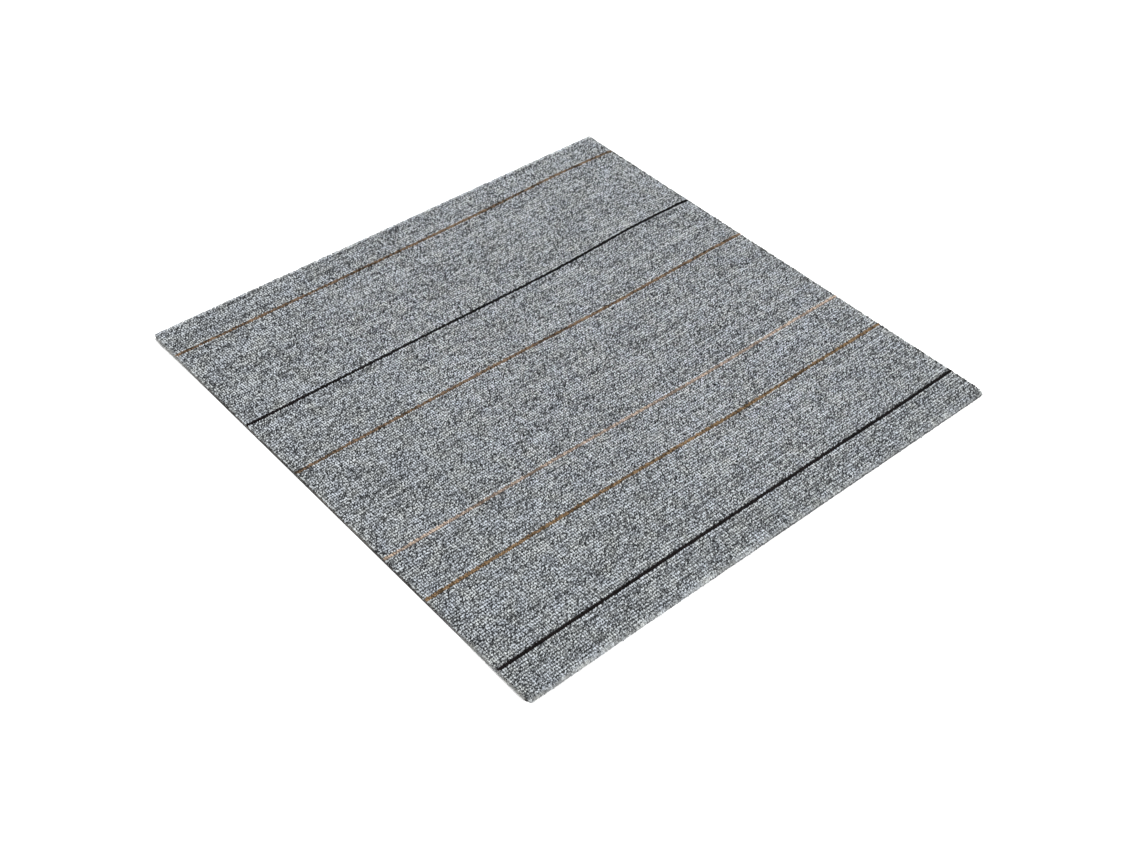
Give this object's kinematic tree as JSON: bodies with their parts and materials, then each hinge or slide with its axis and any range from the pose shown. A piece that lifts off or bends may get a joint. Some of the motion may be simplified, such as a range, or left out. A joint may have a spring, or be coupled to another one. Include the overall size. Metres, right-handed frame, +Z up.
{
  "type": "carpet tile",
  "caption": "Square loop-pile carpet tile in grey heather yarn with single tufted accent rows in brown, black, tan and ochre, on a dark resilient backing; it lies loose or glued on a floor.",
  "frame": {"origin": "centre of the tile's underside, on the floor", "axes": "+Z up out of the pile; +X along the tufted rows; +Y across the rows, towards the first brown row"},
  "size_m": [0.5, 0.5, 0.0055],
  "materials": {
    "grey_yarn": "matt heather loop pile, light grey, mid grey and near-black filaments spun together",
    "brown_yarn": "matt looped yarn, dull brown",
    "black_yarn": "matt looped yarn, near black",
    "tan_yarn": "matt looped yarn, pale pinkish tan",
    "ochre_yarn": "matt looped yarn, ochre brown",
    "primary_cloth": "pale non-woven cloth stiffened with precoat",
    "backing": "black bitumen compound with a faint cast texture, matt"
  },
  "bodies": {
    "root": {"backing": "backing", "primary_cloth": "primary_cloth", "pile_band_1": "grey_yarn", "pile_band_2": "grey_yarn", "pile_band_3": "grey_yarn", "pile_band_4": "grey_yarn", "pile_band_5": "grey_yarn", "pile_band_6": "grey_yarn", "pile_band_7": "grey_yarn", "brown_row_1": "brown_yarn", "black_row_1": "black_yarn", "brown_row_2": "brown_yarn", "tan_row": "tan_yarn", "ochre_row": "ochre_yarn", "black_row_2": "black_yarn"}
  },
  "joints": []
}
